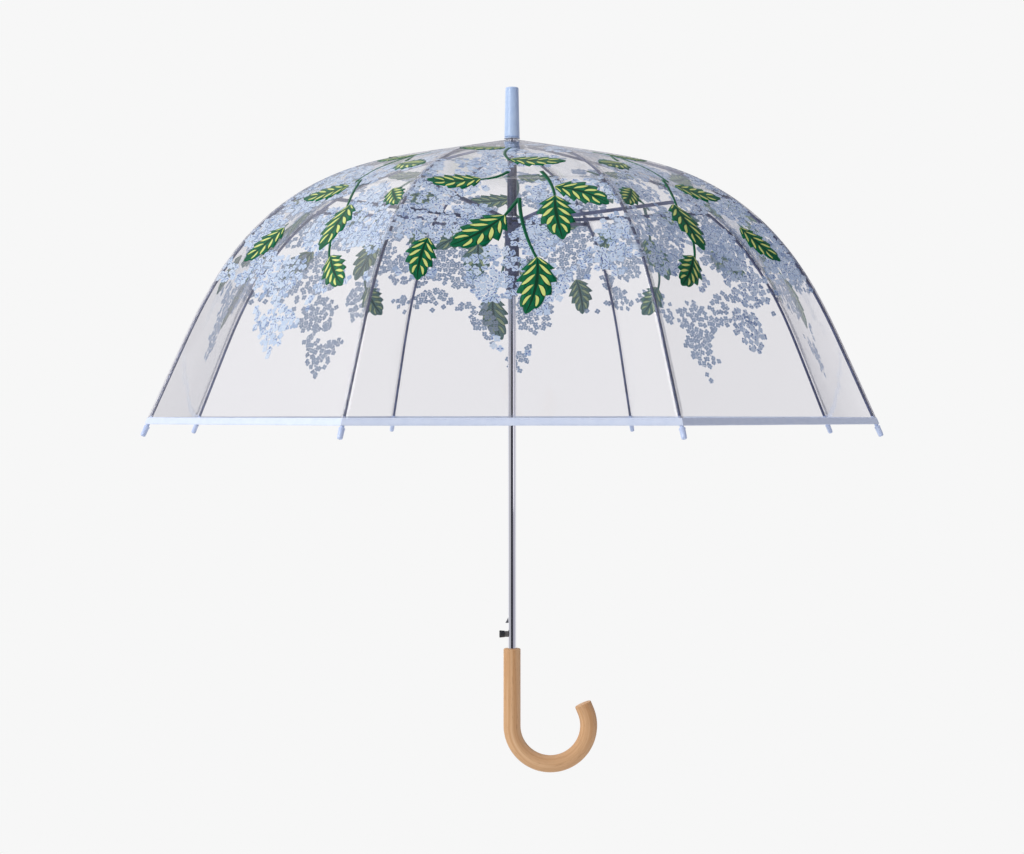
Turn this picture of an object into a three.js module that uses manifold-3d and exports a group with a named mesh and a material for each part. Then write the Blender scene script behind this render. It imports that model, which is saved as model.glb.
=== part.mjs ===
// Clear bubble umbrella, open, in millimetres, +Z up.
// The shaft runs along Z. The origin is on its axis, at the top face of the handle.
// Each rib lies in its own upright plane. A rib, its stretcher and a canopy panel are drawn once,
// in the plane of +X, and copied round the shaft.
import * as THREE from 'three';
import { mergeVertices } from 'three/addons/utils/BufferGeometryUtils.js';
import Module from 'manifold-3d';

const wasm = await Module();
wasm.setup();

// ---------------------------------------------------------------- driving dimensions
const RIB_COUNT = 8;
const RIB_STEP = (2 * Math.PI) / RIB_COUNT;
const HALF_STEP = RIB_STEP / 2;
const FIRST_RIB = RIB_STEP / 2; // a canopy panel, not a rib, faces the front
const GAP = 0.3; // between pieces that touch

// The canopy's outline in a rib's plane: its slope turns smoothly from one angle to the other.
const CANOPY_TOP_Z = 616.7;
const TOP_SLOPE = THREE.MathUtils.degToRad(10.5);
const RIM_SLOPE = THREE.MathUtils.degToRad(65.5);
const TURN_START = 93; // distances along the rib from the shaft's axis
const TURN_END = 521;
const FILM_START = 8;
const ELBOW = 277.6; // where the stretcher holds the rib
const CANOPY_EDGE = 607; // the film's cut edge
const RIB_END = 616;
const TIP_START = 608.3;
const TIP_END = 620.5;
const FILM = 0.8;
const FILM_SAG = 0.02; // the film dips between two ribs, as a share of its radius
const FILM_COLUMNS = 4; // steps across a panel, from rib to rib
const UPPER_ROWS = 7; // steps down an upper panel
const LOWER_ROWS = 11;
const BAND = 9; // width of the edge binding
const BAND_PROUD = 0.7;
const BAND_RAMP = 0.5; // length over which the binding rises off the film

const SHAFT_R = 4.85;
const SHAFT_BORE_R = 4.05;
const SHAFT_BOTTOM = -78;
const SHAFT_TOP = 640;

const RIB_R = 1.6;
const RIB_DEPTH = 3.1; // the rib wire's centre below the film's outer face
const CROWN_PIVOT = new THREE.Vector2(12.5, 609.5); // radius and height
const ELBOW_DEPTH = 5.1; // the elbow's pivot below the film's outer face
const RUNNER_PIVOT = new THREE.Vector2(12, 516.3);
const EYE_R = 2.3;
const EYE_HOLE_R = 1.1;
const EYE_THICK = 2.2;
const WIRE_R = 0.55;
const CHEEK_R = 3.2;
const CHEEK_HALF = 2.1; // half the width of the elbow clip
const RIVET_R = 0.9;
const FORK_HALF = 1.1; // half the width of the slot in it
const TONGUE_HALF = 0.8; // half the thickness of the lower rib's tongue
const STRETCHER_SIDE = 4; // the stretcher runs beside the rib by this much
const STRETCHER_WIDE = 3.2;
const STRETCHER_TALL = 4;
const STRETCHER_WALL = 0.7;
const NECK_LENGTH = 9; // of a stretcher's flat eye, from its pivot to its channel

const HEAD_R = 15; // slotted heads of the crown notch and the runner
const SLOT_WIDE = 2.9;
const CROWN_BOTTOM = 604.5;
const CROWN_TOP = 611.8;
const RUNNER_SLEEVE_R = 8.6;
const RUNNER_BORE_R = 5.6;
const RUNNER_NECK_R = 5.05; // the top of the bore, which meets the stop pin
const RUNNER_SLEEVE = 90; // from the stretchers' pivot to the sleeve's lower edge
const RUNNER_HEAD_HALF = 4.4;
const RUNNER_TOP = RUNNER_PIVOT.y + RUNNER_HEAD_HALF;
const RUNNER_BOTTOM = RUNNER_PIVOT.y - RUNNER_SLEEVE;
const RUNNER_SHUT_BOTTOM = 12; // height of the sleeve's lower edge when the umbrella is shut
const RUNNER_TRAVEL = RUNNER_BOTTOM - RUNNER_SHUT_BOTTOM;
const STOP_PIN_R = 0.8;
const STOP_PIN_Z = RUNNER_TOP + STOP_PIN_R + GAP;
const SPRING_INNER_R = 5.35;
const SPRING_OUTER_R = 5.95;
const FINIAL_TOP = 679;

const HANDLE_R = 10.3;
const HANDLE_STRAIGHT = 93.2;
const CROOK_R = 46.4;
const CROOK_SWEEP = THREE.MathUtils.degToRad(203);
const CROOK_END = 9; // the straight length after the crook's bend
const BUTTON_Z = 17.5;
const BUTTON_R = 4.5;
const STEM_HALF = 3.6; // half the height of the button's stem
const CATCH_Z = 31; // the flat underside of the catch's tooth
const TOOTH_RISE = 8; // height of the tooth's slope, which the passing runner presses in
const TOOTH_HALF = 1.3;
const SLOT_HALF = 1.7; // half the width of the slot in the shaft
const KEYWAY_HALF = BUTTON_R + GAP; // half the width of the runner's opening for the button
const WINDOW_HALF = 2.2; // half the width of the runner's opening for the tooth

// ---------------------------------------------------------------- solids
function solidOf(geometry) {
  const bare = geometry.clone();
  bare.deleteAttribute('normal');
  bare.deleteAttribute('uv');
  const merged = mergeVertices(bare, 1e-4);
  return new wasm.Manifold(new wasm.Mesh({
    numProp: 3,
    vertProperties: new Float32Array(merged.attributes.position.array),
    triVerts: new Uint32Array(merged.index.array),
  }));
}

function geometryOf(solid) {
  const mesh = solid.getMesh();
  const geometry = new THREE.BufferGeometry();
  geometry.setAttribute('position', new THREE.BufferAttribute(mesh.vertProperties, 3));
  geometry.setIndex(new THREE.BufferAttribute(mesh.triVerts, 1));
  geometry.computeVertexNormals();
  return geometry;
}

// Merges a geometry's shared corners and gives it back as one closed body.
function closed(geometry) {
  return geometryOf(solidOf(geometry));
}

function join(...geometries) {
  const [first, ...others] = geometries.map(solidOf);
  return geometryOf(others.reduce((sum, next) => sum.add(next), first));
}

function cut(geometry, ...tools) {
  return geometryOf(tools.map(solidOf).reduce((rest, tool) => rest.subtract(tool), solidOf(geometry)));
}

// A solid of revolution about Z, from its outline of [radius, height] points.
function turned(outline, sides = 24) {
  const points = outline.map(([radius, height]) => new THREE.Vector2(radius, height));
  return new THREE.LatheGeometry(points, sides).rotateX(Math.PI / 2);
}

// A ring about Z with a rectangular section.
function ring(inner, outer, low, high, sides = 24) {
  return turned([[inner, low], [outer, low], [outer, high], [inner, high], [inner, low]], sides);
}

function box(x0, x1, y0, y1, z0, z1) {
  const geometry = new THREE.BoxGeometry(x1 - x0, y1 - y0, z1 - z0);
  return geometry.translate((x0 + x1) / 2, (y0 + y1) / 2, (z0 + z1) / 2);
}

// A round pin along Y through the point (x, z).
function pinAlongY(radius, y0, y1, x, z, sides = 8) {
  return new THREE.CylinderGeometry(radius, radius, y1 - y0, sides).translate(x, (y0 + y1) / 2, z);
}

// A flat plate in the plane of X and Z, between y0 and y1, from its outline.
function plate(outline, y0, y1) {
  const shape = new THREE.Shape(outline.map(([x, z]) => new THREE.Vector2(x, z)));
  const geometry = new THREE.ExtrudeGeometry(shape, { depth: y1 - y0, bevelEnabled: false });
  return geometry.rotateX(Math.PI / 2).translate(0, y1, 0);
}

// A round bar along a curve.
function bar(curve, radius, sides, steps) {
  const section = new THREE.Shape();
  for (let side = 0; side < sides; side += 1) {
    const angle = (side / sides) * 2 * Math.PI;
    const point = [radius * Math.cos(angle), radius * Math.sin(angle)];
    if (side === 0) {
      section.moveTo(...point);
    } else {
      section.lineTo(...point);
    }
  }
  section.closePath();
  return new THREE.ExtrudeGeometry(section, { extrudePath: curve, steps, bevelEnabled: false });
}

// ---------------------------------------------------------------- the canopy's outline
// Radius, height and slope of the film's outer face at a distance along the rib from the axis.
function outlineAt(distance) {
  const stride = 1;
  let radius = 0;
  let height = CANOPY_TOP_Z;
  const slopeAt = (along) => THREE.MathUtils.lerp(
    TOP_SLOPE, RIM_SLOPE, THREE.MathUtils.smoothstep(along, TURN_START, TURN_END));
  for (let along = 0; along < distance; along += stride) {
    const length = Math.min(stride, distance - along);
    const slope = slopeAt(along + length / 2);
    radius += length * Math.cos(slope);
    height -= length * Math.sin(slope);
  }
  return { radius, height, slope: slopeAt(distance) };
}

// A point at a depth under the film's outer face, in the plane of +X.
function underFilm(distance, depth) {
  const { radius, height, slope } = outlineAt(distance);
  return new THREE.Vector3(radius - depth * Math.sin(slope), 0, height - depth * Math.cos(slope));
}

function ribCurve(from, to, depthAt = () => RIB_DEPTH) {
  const spans = 8;
  const points = [];
  for (let index = 0; index <= spans; index += 1) {
    const distance = THREE.MathUtils.lerp(from, to, index / spans);
    points.push(underFilm(distance, depthAt(distance)));
  }
  return new THREE.CatmullRomCurve3(points);
}

// How far along the rib each row of a panel's corners lies. A banded panel's last two rows are the
// edges of its binding.
function rowDistances(from, to, rows, banded) {
  const plainRows = banded ? rows - 2 : rows;
  const plainEnd = banded ? to - BAND : to;
  const distances = [];
  for (let row = 0; row <= plainRows; row += 1) {
    distances.push(THREE.MathUtils.lerp(from, plainEnd, row / plainRows));
  }
  return banded ? [...distances, plainEnd + BAND_RAMP, to] : distances;
}

// One panel of film between two ribs, centred on +X: a thin box whose length runs down the canopy,
// whose width runs from rib to rib and whose thickness is the film's.
function filmPanel(from, to, rows, banded = false) {
  const distances = rowDistances(from, to, rows, banded);
  const geometry = new THREE.BoxGeometry(1, 2, 1, rows, FILM_COLUMNS, 1);
  const position = geometry.attributes.position;
  for (let index = 0; index < position.count; index += 1) {
    const row = Math.round((position.getX(index) + 0.5) * rows);
    const across = position.getY(index);
    const outside = position.getZ(index) > 0;
    const proud = banded && row > rows - 2 ? BAND_PROUD : 0;
    const depth = outside ? -proud : FILM;
    const { radius, height, slope } = outlineAt(distances[row]);
    // The sides stay parallel to the two ribs' planes, half a gap from each.
    const chord = radius * Math.cos(HALF_STEP) - depth * Math.sin(slope);
    const half = chord * Math.tan(HALF_STEP) - GAP / 2 / Math.cos(HALF_STEP);
    const sag = FILM_SAG * radius * (1 - across * across);
    position.setXYZ(index, chord - sag, across * half, height - depth * Math.cos(slope));
  }
  return closed(geometry);
}

// ---------------------------------------------------------------- ribs and stretchers
const elbowSlope = outlineAt(ELBOW).slope;
const elbowPoint = underFilm(ELBOW, ELBOW_DEPTH);
const elbowPivot = new THREE.Vector2(elbowPoint.x, elbowPoint.z);

// Puts a piece drawn with X along the rib, towards the rim, and its elbow pivot at the origin.
function atElbow(geometry) {
  return geometry.rotateY(elbowSlope).translate(elbowPivot.x, 0, elbowPivot.y);
}

// The clip on the end of the upper rib: a fork that holds the lower rib's tongue on a rivet.
function elbowFork() {
  const length = 13;
  const throat = 5.5; // depth of the slot behind the pivot
  const below = 1.5;
  const above = 2.6;
  const rivetHalf = CHEEK_HALF - 0.2; // the rivet's ends stay inside the cheeks
  const clear = 2 * CHEEK_R;
  const cheeks = join(
    pinAlongY(CHEEK_R, -CHEEK_HALF, CHEEK_HALF, 0, 0, 12),
    box(-length, 0, -CHEEK_HALF, CHEEK_HALF, -below, above));
  const slot = box(-throat, clear, -FORK_HALF, FORK_HALF, -clear, clear);
  return atElbow(join(cut(cheeks, slot), pinAlongY(RIVET_R, -rivetHalf, rivetHalf, 0, 0)));
}

// The flat tongue on the start of the lower rib, with a hole for the elbow's rivet.
function elbowTongue() {
  const round = 3;
  const length = 9;
  const below = 0.6;
  const above = 2.8;
  const blade = join(
    pinAlongY(round, -TONGUE_HALF, TONGUE_HALF, 0, 0, 12),
    box(0, length, -TONGUE_HALF, TONGUE_HALF, -below, above));
  return atElbow(cut(blade, pinAlongY(RIVET_R + 0.4, -2 * TONGUE_HALF, 2 * TONGUE_HALF, 0, 0)));
}

// A wire with a flat neck and eye at the crown. The wire starts outside the crown notch, because
// only the neck is thin enough to turn in its slot.
function upperRib() {
  const wireStart = 22;
  const wireEnd = ELBOW - 8;
  const dropEnd = 45; // the wire drops to its pivot's level before this distance
  const drop = 1.7;
  const depthAt = (distance) => RIB_DEPTH
    + drop * (1 - THREE.MathUtils.smoothstep(distance, wireStart, dropEnd));
  const wire = bar(ribCurve(wireStart, wireEnd, depthAt), RIB_R, 6, 7);
  const start = underFilm(wireStart, RIB_DEPTH + drop);
  const neck = box(CROWN_PIVOT.x, start.x + 4, -EYE_THICK / 2, EYE_THICK / 2,
    start.z - 1.2, CROWN_PIVOT.y + 0.6);
  const eye = pinAlongY(EYE_R, -EYE_THICK / 2, EYE_THICK / 2, CROWN_PIVOT.x, CROWN_PIVOT.y);
  const hole = pinAlongY(EYE_HOLE_R, -EYE_THICK, EYE_THICK, CROWN_PIVOT.x, CROWN_PIVOT.y);
  return cut(join(wire, neck, eye, elbowFork()), hole);
}

function lowerRib() {
  const wireStart = ELBOW + 6;
  return join(bar(ribCurve(wireStart, RIB_END), RIB_R, 6, 7), elbowTongue());
}

// A cap on the rib's end. It is bored from its inner end, and its outer end is rounded off.
function ribTip() {
  const from = underFilm(TIP_START, RIB_DEPTH);
  const length = TIP_END - TIP_START;
  const outer = 3.4;
  const bore = RIB_R + GAP;
  const depth = RIB_END - TIP_START + GAP;
  const outline = [
    [bore, 0], [outer - 0.5, 0], [outer, 0.8], [outer, length * 0.75], [outer * 0.8, length - 0.6],
    [outer * 0.6, length], [0, length], [0, depth], [bore, depth], [bore, 0],
  ];
  // The tip's own axis is laid along the rib's last stretch.
  const tilt = Math.PI / 2 + outlineAt((TIP_START + TIP_END) / 2).slope;
  return turned(outline, 8).rotateY(tilt).translate(from.x, 0, from.z);
}

// A bar of U section from the runner to the elbow, with a flat eye at the runner's end
// and a rivet's head at the other. It runs beside the rib, so that the two fold past each other.
function stretcher() {
  const reach = elbowPivot.clone().sub(RUNNER_PIVOT);
  const length = reach.length();
  const half = STRETCHER_WIDE / 2;
  const channelEnds = [NECK_LENGTH + 3, length - 12];
  const rail = join(
    box(NECK_LENGTH, length, -half, half, -STRETCHER_TALL / 2, STRETCHER_TALL / 2),
    pinAlongY(STRETCHER_TALL * 0.62, -half, half, length, 0, 12));
  const groove = box(...channelEnds, STRETCHER_WALL - half, half - STRETCHER_WALL,
    STRETCHER_WALL - STRETCHER_TALL / 2, STRETCHER_TALL);
  const eye = join(
    pinAlongY(EYE_R, -EYE_THICK / 2, EYE_THICK / 2, 0, 0),
    box(0, NECK_LENGTH + 1, -EYE_THICK / 2, EYE_THICK / 2, -1.5, 1.5));
  const rivet = pinAlongY(1.7, half - 0.2, half + 0.7, length, 0);
  const hole = pinAlongY(EYE_HOLE_R, -EYE_THICK, EYE_THICK, 0, 0);
  const whole = join(cut(rail, groove), cut(eye, hole), rivet);
  return whole
    .rotateY(-Math.atan2(reach.y, reach.x))
    .translate(RUNNER_PIVOT.x, STRETCHER_SIDE, RUNNER_PIVOT.y);
}

// ---------------------------------------------------------------- shaft and its fittings
// Slots in a head, one for each rib or stretcher, beside the radius by a distance.
function headSlots(inner, low, high, beside) {
  const slots = [];
  for (let index = 0; index < RIB_COUNT; index += 1) {
    const slot = box(inner, HEAD_R + 2, beside - SLOT_WIDE / 2, beside + SLOT_WIDE / 2, low, high);
    slots.push(slot.rotateZ(FIRST_RIB + index * RIB_STEP));
  }
  return slots;
}

function wireGroove(radius, height) {
  const wide = WIRE_R + GAP;
  return ring(radius - wide, HEAD_R + 1, height - wide, height + wide, 32);
}

function hingeWire(pivotRadius, height, beside) {
  const radius = Math.hypot(pivotRadius, beside);
  return new THREE.TorusGeometry(radius, WIRE_R, 6, 32).translate(0, 0, height);
}

// A tube with a slot for the button and the catch, and cross holes for the stop pin.
function shaft() {
  const tube = ring(SHAFT_BORE_R, SHAFT_R, SHAFT_BOTTOM, SHAFT_TOP);
  const slotLow = BUTTON_Z - STEM_HALF - GAP;
  const slotHigh = CATCH_Z + TOOTH_RISE + 1.5;
  const slot = box(-SHAFT_R - 1, -SHAFT_BORE_R / 2, -SLOT_HALF, SLOT_HALF, slotLow, slotHigh);
  const pinHole = pinAlongY(STOP_PIN_R + GAP, -SHAFT_R - 1, SHAFT_R + 1, 0, STOP_PIN_Z);
  return cut(tube, slot, pinHole);
}

// It stands out of the shaft just far enough to stop the runner's neck.
function stopPin() {
  const half = RUNNER_NECK_R + 0.2;
  return pinAlongY(STOP_PIN_R, -half, half, 0, STOP_PIN_Z, 12);
}

function crownNotch() {
  const head = ring(SHAFT_R + GAP, HEAD_R, CROWN_BOTTOM, CROWN_TOP, 32);
  const slots = headSlots(CROWN_PIVOT.x - EYE_R - GAP, CROWN_BOTTOM - 1, CROWN_TOP + 1, 0);
  return cut(head, ...slots, wireGroove(CROWN_PIVOT.x, CROWN_PIVOT.y));
}

// A sleeve with a slotted head. Its openings on -X take the button and the catch's tooth when the
// umbrella is shut, so they are drawn higher by the runner's travel.
function runner() {
  const headLow = RUNNER_PIVOT.y - RUNNER_HEAD_HALF;
  const body = turned([
    [RUNNER_BORE_R, RUNNER_BOTTOM], [RUNNER_SLEEVE_R - 2, RUNNER_BOTTOM],
    [RUNNER_SLEEVE_R, RUNNER_BOTTOM + 7], [RUNNER_SLEEVE_R, headLow - 3],
    [HEAD_R - 5, headLow], [HEAD_R, headLow], [HEAD_R, RUNNER_TOP],
    [RUNNER_NECK_R, RUNNER_TOP], [RUNNER_NECK_R, RUNNER_TOP - 3], [RUNNER_BORE_R, RUNNER_TOP - 4],
    [RUNNER_BORE_R, RUNNER_BOTTOM],
  ], 32);
  const inner = RUNNER_PIVOT.x - EYE_R - 0.7;
  const slots = headSlots(inner, headLow - 1, RUNNER_TOP + 1, STRETCHER_SIDE);
  const opening = (half, low, high) => box(
    -HEAD_R, 0, -half, half, low + RUNNER_TRAVEL, high + RUNNER_TRAVEL);
  const keyway = opening(KEYWAY_HALF, RUNNER_SHUT_BOTTOM - 1, BUTTON_Z + BUTTON_R + 1.5);
  const window = opening(WINDOW_HALF, CATCH_Z - 2 * GAP, CATCH_Z + TOOTH_RISE + 2);
  const groove = wireGroove(Math.hypot(RUNNER_PIVOT.x, STRETCHER_SIDE), RUNNER_PIVOT.y);
  return cut(body, ...slots, groove, keyway, window);
}

// The space that a closely wound coil fills between the stop pin and the crown.
function mainSpring() {
  const low = STOP_PIN_Z + STOP_PIN_R + 0.5;
  return ring(SPRING_INNER_R, SPRING_OUTER_R, low, CROWN_BOTTOM - GAP);
}

// A tapered cap, bored from below for the shaft's end.
function finial() {
  const bottom = CANOPY_TOP_Z + 1.9;
  const bore = SHAFT_R + GAP;
  const boreTop = SHAFT_TOP + GAP;
  return turned([
    [bore, bottom], [8.6, bottom], [9.2, bottom + 1], [9, bottom + 12], [7.9, FINIAL_TOP - 1.2],
    [7.2, FINIAL_TOP], [0, FINIAL_TOP], [0, boreTop], [bore, boreTop], [bore, bottom],
  ], 24);
}

// A thin disc that seals the film round the shaft, under the finial.
function crownWasher() {
  const outer = 9.6;
  const thick = 1.2;
  const low = CANOPY_TOP_Z + GAP;
  return ring(SHAFT_R + GAP, outer, low, low + thick, 24);
}

// The handle's centre line: straight down, round the crook towards +X, then straight again.
class HandleLine extends THREE.Curve {
  constructor() {
    super();
    this.length = HANDLE_STRAIGHT + CROOK_R * CROOK_SWEEP + CROOK_END;
  }

  getPoint(share, target = new THREE.Vector3()) {
    const along = share * this.length;
    if (along <= HANDLE_STRAIGHT) {
      return target.set(0, 0, -along);
    }
    const angle = Math.min((along - HANDLE_STRAIGHT) / CROOK_R, CROOK_SWEEP);
    const beyond = along - HANDLE_STRAIGHT - CROOK_R * angle;
    return target.set(
      CROOK_R * (1 - Math.cos(angle)) + beyond * Math.sin(angle),
      0,
      -HANDLE_STRAIGHT - CROOK_R * Math.sin(angle) - beyond * Math.cos(angle));
  }
}

function handle() {
  const wood = bar(new HandleLine(), HANDLE_R, 14, 30);
  const boreR = SHAFT_R + GAP;
  const boreLength = 90; // it runs out past the handle's top
  const bore = new THREE.CylinderGeometry(boreR, boreR, boreLength, 24).rotateX(Math.PI / 2);
  return cut(wood, bore.translate(0, 0, SHAFT_BOTTOM - GAP + boreLength / 2));
}

// The button stands out of the shaft's slot, and its stem reaches in to the catch's leaf. Pressed in
// with the umbrella shut, its cap goes into the runner's keyway.
function pushButton() {
  const [face, back] = [-15.3, -9];
  const stem = box(back - 1, -4.1, -1.4, 1.4, BUTTON_Z - STEM_HALF, BUTTON_Z + STEM_HALF);
  const cap = new THREE.CylinderGeometry(BUTTON_R, BUTTON_R, back - face, 20)
    .rotateZ(Math.PI / 2)
    .translate((face + back) / 2, 0, BUTTON_Z);
  return join(stem, cap);
}

// A leaf inside the shaft with a tooth that stands out through the slot.
function runnerCatch() {
  const [inner, outer, point] = [-3.1, -3.8, -8];
  const [low, high] = [8, 62];
  const outline = [
    [inner, low], [outer, low], [outer, CATCH_Z], [point, CATCH_Z], [outer, CATCH_Z + TOOTH_RISE],
    [outer, high], [inner, high],
  ];
  return plate(outline, -TOOTH_HALF, TOOTH_HALF);
}

// ---------------------------------------------------------------- materials
function finish(colour, roughness, metalness = 0, opacity = 1) {
  return new THREE.MeshStandardMaterial({
    color: colour, roughness, metalness, opacity, transparent: opacity < 1,
  });
}

const finishes = {
  film: finish(0xe8eef4, 0.1, 0, 0.35),
  paintedSteel: finish(0x4a5068, 0.45, 0.4),
  chrome: finish(0xc9cbd0, 0.18, 1),
  blueResin: finish(0xb3c4ee, 0.4),
  darkResin: finish(0x34384a, 0.45),
  blackResin: finish(0x202226, 0.4),
  springSteel: finish(0x6d7078, 0.35, 0.9),
  beech: finish(0xd2a679, 0.5),
};

// ---------------------------------------------------------------- assembly
const umbrella = new THREE.Group();

function add(name, geometry, material, angle = 0) {
  const mesh = new THREE.Mesh(geometry, material);
  mesh.name = name;
  mesh.rotation.z = angle;
  umbrella.add(mesh);
}

add('shaft', shaft(), finishes.chrome);
add('handle', handle(), finishes.beech);
add('finial', finial(), finishes.blueResin);
add('crown_washer', crownWasher(), finishes.blueResin);
add('crown_notch', crownNotch(), finishes.darkResin);
add('crown_wire', hingeWire(CROWN_PIVOT.x, CROWN_PIVOT.y, 0), finishes.springSteel);
add('main_spring', mainSpring(), finishes.springSteel);
add('stop_pin', stopPin(), finishes.springSteel);
add('runner', runner(), finishes.darkResin);
add('runner_wire', hingeWire(RUNNER_PIVOT.x, RUNNER_PIVOT.y, STRETCHER_SIDE), finishes.springSteel);
add('push_button', pushButton(), finishes.blackResin);
add('runner_catch', runnerCatch(), finishes.springSteel);

const shared = {
  rib_upper: [upperRib(), finishes.paintedSteel],
  rib_lower: [lowerRib(), finishes.paintedSteel],
  rib_tip: [ribTip(), finishes.blueResin],
  stretcher: [stretcher(), finishes.paintedSteel],
};
const film = {
  canopy_upper: filmPanel(FILM_START, ELBOW - GAP / 2, UPPER_ROWS),
  canopy_lower: filmPanel(ELBOW + GAP / 2, CANOPY_EDGE, LOWER_ROWS, true),
};

for (let index = 0; index < RIB_COUNT; index += 1) {
  const angle = FIRST_RIB + index * RIB_STEP;
  for (const [name, [geometry, material]] of Object.entries(shared)) {
    add(`${name}_${index + 1}`, geometry, material, angle);
  }
  for (const [name, geometry] of Object.entries(film)) {
    add(`${name}_${index + 1}`, geometry, finishes.film, angle + HALF_STEP);
  }
}

export default umbrella;
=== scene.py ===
import math

import bmesh
import bpy
import numpy as np
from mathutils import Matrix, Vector


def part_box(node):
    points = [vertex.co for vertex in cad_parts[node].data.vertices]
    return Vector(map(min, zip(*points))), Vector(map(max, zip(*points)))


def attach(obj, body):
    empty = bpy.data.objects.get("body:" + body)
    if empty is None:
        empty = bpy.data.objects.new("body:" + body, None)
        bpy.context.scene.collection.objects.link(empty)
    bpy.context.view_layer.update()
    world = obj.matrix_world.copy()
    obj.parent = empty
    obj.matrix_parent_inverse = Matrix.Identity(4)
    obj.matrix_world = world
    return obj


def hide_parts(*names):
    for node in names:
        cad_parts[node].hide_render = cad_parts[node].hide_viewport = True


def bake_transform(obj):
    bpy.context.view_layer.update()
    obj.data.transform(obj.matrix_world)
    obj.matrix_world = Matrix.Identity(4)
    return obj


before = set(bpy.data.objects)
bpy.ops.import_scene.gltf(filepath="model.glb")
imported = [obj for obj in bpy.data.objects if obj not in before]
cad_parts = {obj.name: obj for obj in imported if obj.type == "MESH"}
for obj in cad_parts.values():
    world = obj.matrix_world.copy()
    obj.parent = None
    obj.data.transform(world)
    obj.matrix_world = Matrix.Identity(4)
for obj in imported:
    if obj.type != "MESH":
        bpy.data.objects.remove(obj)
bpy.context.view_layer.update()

# ---------------------------------------------------------------- driving dimensions, in metres
MM = 0.001
RIB_COUNT = 8
RIB_STEP = 2 * math.pi / RIB_COUNT
HALF_STEP = RIB_STEP / 2
FIRST_RIB = HALF_STEP

# The canopy's outline in a rib's plane: its slope turns smoothly from one angle to the other.
CANOPY_TOP_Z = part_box("crown_washer")[0].z - 0.3 * MM
TOP_SLOPE = math.radians(10.5)
RIM_SLOPE = math.radians(65.5)
TURN_START = 93 * MM
TURN_END = 521 * MM
FILM_START = 8 * MM
ELBOW = 277.6 * MM
CANOPY_EDGE = 607 * MM
RIB_END = 616 * MM
TIP_START = 608.3 * MM
TIP_END = 620.5 * MM
FILM_SAG = 0.02
FILM = 0.3 * MM
RIPPLE = 0.5 * MM
RIPPLE_DOWN = 23 * MM
RIPPLE_DRIFT = 61 * MM
RIB_RADIUS = 1.6 * MM
RIB_DEPTH = 3.1 * MM
TAPE = 8.6 * MM
TAPE_HALF_THICK = 0.75 * MM
SEAM_HALF = 3.2 * MM
SEAM_THICK = 0.35 * MM

SHAFT_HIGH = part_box("shaft")[1]
SHAFT_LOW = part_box("shaft")[0]
SHAFT_RADIUS = SHAFT_HIGH.y
HANDLE_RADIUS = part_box("handle")[1].y
HANDLE_STRAIGHT = 93.2 * MM
CROOK_RADIUS = 46.4 * MM
CROOK_SWEEP = math.radians(203)
CROOK_END = 9 * MM

CAMERA_DISTANCE = 2.333
CAMERA_HEIGHT = 0.2854
LENS_MM = 67.75
HORIZON_SHIFT = -0.014
FLOOR_Z = -0.5
FLOOR_RADIUS = 1.7
FLOOR_FADE = (0.3, 1.1)  # from its own grey to the background's tone, by the distance from the shaft


def srgb(red, green, blue):
    """A colour given as 0 to 255 on a screen, as the linear numbers that shaders take."""
    def linear(value):
        share = value / 255
        return share / 12.92 if share <= 0.04045 else ((share + 0.055) / 1.055) ** 2.4
    return (linear(red), linear(green), linear(blue), 1.0)


# ---------------------------------------------------------------- shapes
def slope_at(distance):
    share = np.clip((distance - TURN_START) / (TURN_END - TURN_START), 0, 1)
    return TOP_SLOPE + (RIM_SLOPE - TOP_SLOPE) * share * share * (3 - 2 * share)


OUTLINE_STEP = 0.5 * MM
OUTLINE_LONG = 0.65
STOPS = np.arange(0, OUTLINE_LONG, OUTLINE_STEP)
STEP_SLOPES = slope_at(STOPS[:-1] + OUTLINE_STEP / 2)
RADII = np.concatenate([[0], np.cumsum(np.cos(STEP_SLOPES) * OUTLINE_STEP)])
HEIGHTS = CANOPY_TOP_Z - np.concatenate([[0], np.cumsum(np.sin(STEP_SLOPES) * OUTLINE_STEP)])


def outline(distance):
    """Radius, height and slope of the canopy at a distance along a rib from the shaft's axis."""
    return np.interp(distance, STOPS, RADII), np.interp(distance, STOPS, HEIGHTS), slope_at(distance)


def rib_line(distance, depth):
    """A point in the plane of +X, at a depth under the film: x and z."""
    radius, height, slope = outline(distance)
    return radius - depth * np.sin(slope), height - depth * np.cos(slope)


def gore_half(distance):
    """Half the width of a gore, from its middle to a rib."""
    return outline(distance)[0] * math.sin(HALF_STEP)


def film_point(distance, across, depth):
    """Points on a gore centred on +X. across goes from -1 at one rib to 1 at the next."""
    radius, height, slope = outline(distance)
    taut = 1 - across * across
    wave = np.sin(distance / RIPPLE_DOWN + 3 * across) * np.sin(7 * across + distance / RIPPLE_DRIFT)
    depth = depth + RIPPLE * taut * (1 + wave) / 2
    chord = radius * math.cos(HALF_STEP) - depth * np.sin(slope)
    x = chord - FILM_SAG * radius * taut
    return np.stack([x, across * chord * math.tan(HALF_STEP), height - depth * np.cos(slope)], -1)


def grid_faces(rows, columns):
    """Faces of a grid of points, row by row."""
    return [
        (r * columns + c, r * columns + c + 1, (r + 1) * columns + c + 1, (r + 1) * columns + c)
        for r in range(rows - 1) for c in range(columns - 1)
    ]


def tube_faces(rings, sides, base=0):
    """Faces of a closed tube of rings of points, with both of its ends."""
    faces = []
    for ring in range(rings - 1):
        start = base + ring * sides
        for side in range(sides):
            after = (side + 1) % sides
            faces.append((start + side, start + after, start + sides + after, start + sides + side))
    last = base + (rings - 1) * sides
    faces.append(tuple(range(base + sides - 1, base - 1, -1)))
    faces.append(tuple(range(last, last + sides)))
    return faces


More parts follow.
